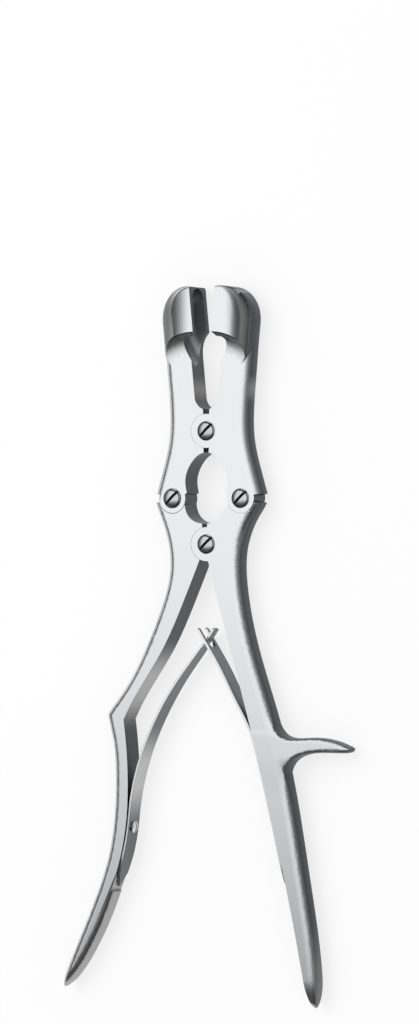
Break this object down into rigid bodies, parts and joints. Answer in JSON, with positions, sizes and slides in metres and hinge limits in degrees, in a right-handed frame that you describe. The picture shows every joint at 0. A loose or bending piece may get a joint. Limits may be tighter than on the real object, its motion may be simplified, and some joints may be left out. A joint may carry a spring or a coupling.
{
  "type": "bone rongeur",
  "caption": "Double-action bone rongeur with cupped biting jaws, crossed leaf springs and a finger spur, lying on its back with the jaws open.",
  "frame": {"origin": "on the axis of the handle pivot, at the flush back faces that the instrument lies on", "axes": "+Y towards the jaws, +Z out of the front face with the screw heads, +X to the side with the finger spur"},
  "size_m": [0.1219, 0.2659, 0.0133],
  "materials": {
    "satin_steel": "satin",
    "cup_steel": "satin, ground hollow",
    "leaf_steel": "satin spring steel",
    "screw_steel": "polished"
  },
  "bodies": {
    "right_handle": {"right_handle": "satin_steel", "right_pivot_screw": "screw_steel", "right_spring_screw": "screw_steel"},
    "left_handle": {"left_handle": "satin_steel", "left_pivot_screw": "screw_steel", "handle_pivot_screw": "screw_steel", "left_spring_screw": "screw_steel"},
    "right_jaw": {"right_jaw": "cup_steel"},
    "left_jaw": {"left_jaw": "cup_steel", "jaw_pivot_screw": "screw_steel"},
    "left_spring": {"left_spring": "leaf_steel"},
    "right_spring": {"right_spring": "leaf_steel"}
  },
  "joints": [
    {"name": "handle_pivot", "type": "hinge", "parent": "right_handle", "child": "left_handle", "pos_m": [0, 0, 0], "axis": [0, 0, 1], "range_deg": [0, 17.2], "stiffness_Nm_per_rad": 2, "springref_deg": -11.46},
    {"name": "right_jaw_pivot", "type": "hinge", "parent": "right_handle", "child": "right_jaw", "pos_m": [0.0143, 0.017, 0], "axis": [0, 0, 1], "range_deg": [0, 14.5]},
    {"name": "left_jaw_pivot", "type": "hinge", "parent": "right_jaw", "child": "left_jaw", "pos_m": [0, 0.042, 0], "axis": [0, 0, 1], "range_deg": [-11.6, 0]},
    {"name": "left_spring_flex", "type": "hinge", "parent": "left_handle", "child": "left_spring", "pos_m": [-0.0339, -0.101, 0], "axis": [0, 0, 1], "range_deg": [0, 5.5], "deforming": ["left_spring"]},
    {"name": "right_spring_flex", "type": "hinge", "parent": "right_handle", "child": "right_spring", "pos_m": [0.0198, -0.074, 0], "axis": [0, 0, 1], "range_deg": [-5.7, 0], "deforming": ["right_spring"]}
  ],
  "couplings": [
    {"joint": "right_jaw_pivot", "follows": "handle_pivot", "ratio": 0.8295},
    {"joint": "left_jaw_pivot", "follows": "handle_pivot", "ratio": -0.6585},
    {"joint": "left_spring_flex", "follows": "handle_pivot", "ratio": 0.312},
    {"joint": "right_spring_flex", "follows": "handle_pivot", "ratio": -0.325}
  ]
}
